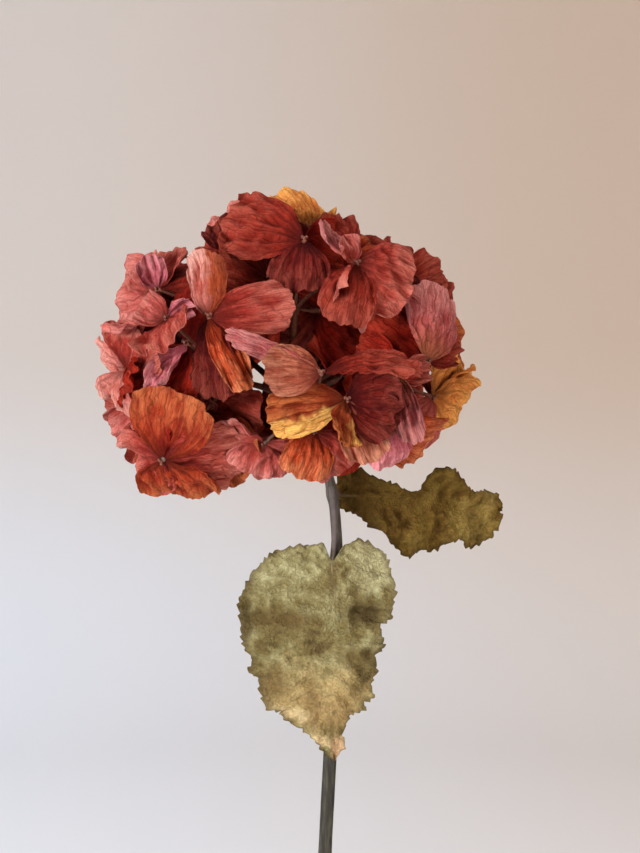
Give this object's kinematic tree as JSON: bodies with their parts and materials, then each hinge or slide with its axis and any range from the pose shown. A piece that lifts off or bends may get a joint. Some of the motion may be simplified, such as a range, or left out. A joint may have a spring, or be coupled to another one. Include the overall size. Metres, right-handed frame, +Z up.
{
  "type": "dried hydrangea in vase",
  "caption": "Dried mophead hydrangea with papery rust-red petals on one leafy stem, standing in a plain stoneware bottle vase with a narrow neck.",
  "frame": {"origin": "middle of the vase's flat base, on the surface that it stands on", "axes": "+Z up along the vase's axis, -Y towards the front that the picture shows, +X to the picture's right"},
  "size_m": [0.1833, 0.1574, 0.5057],
  "materials": {
    "vase": "matte, unglazed stoneware",
    "stem": "dry bark",
    "leaf_front": "dry leaf, matte",
    "leaf_rear": "dry leaf, matte",
    "petals": "dry petal, matte"
  },
  "bodies": {
    "root": {"bloom_01": "petals", "bloom_02": "petals", "bloom_03": "petals", "bloom_04": "petals", "bloom_05": "petals", "bloom_06": "petals", "bloom_07": "petals", "bloom_08": "petals", "bloom_09": "petals", "bloom_10": "petals", "bloom_11": "petals", "bloom_12": "petals", "bloom_13": "petals", "bloom_14": "petals", "bloom_15": "petals", "bloom_16": "petals", "bloom_17": "petals", "bloom_18": "petals", "bloom_19": "petals", "bloom_20": "petals", "bloom_21": "petals", "bloom_22": "petals", "bloom_23": "petals", "bloom_24": "petals", "bloom_25": "petals", "bloom_26": "petals", "bloom_27": "petals", "bloom_28": "petals", "bloom_29": "petals", "bloom_30": "petals", "bloom_31": "petals", "bloom_32": "petals", "bloom_33": "petals", "bloom_34": "petals", "bloom_35": "petals", "bloom_36": "petals", "bloom_37": "petals", "bloom_38": "petals", "bloom_39": "petals", "bloom_40": "petals", "bloom_41": "petals", "bloom_42": "petals", "bloom_43": "petals", "bloom_44": "petals", "bloom_45": "petals", "bloom_46": "petals", "bloom_47": "petals", "bloom_48": "petals", "bloom_49": "petals", "leaf_front": "leaf_front", "leaf_rear": "leaf_rear", "stem": "stem", "vase": "vase"}
  },
  "joints": []
}
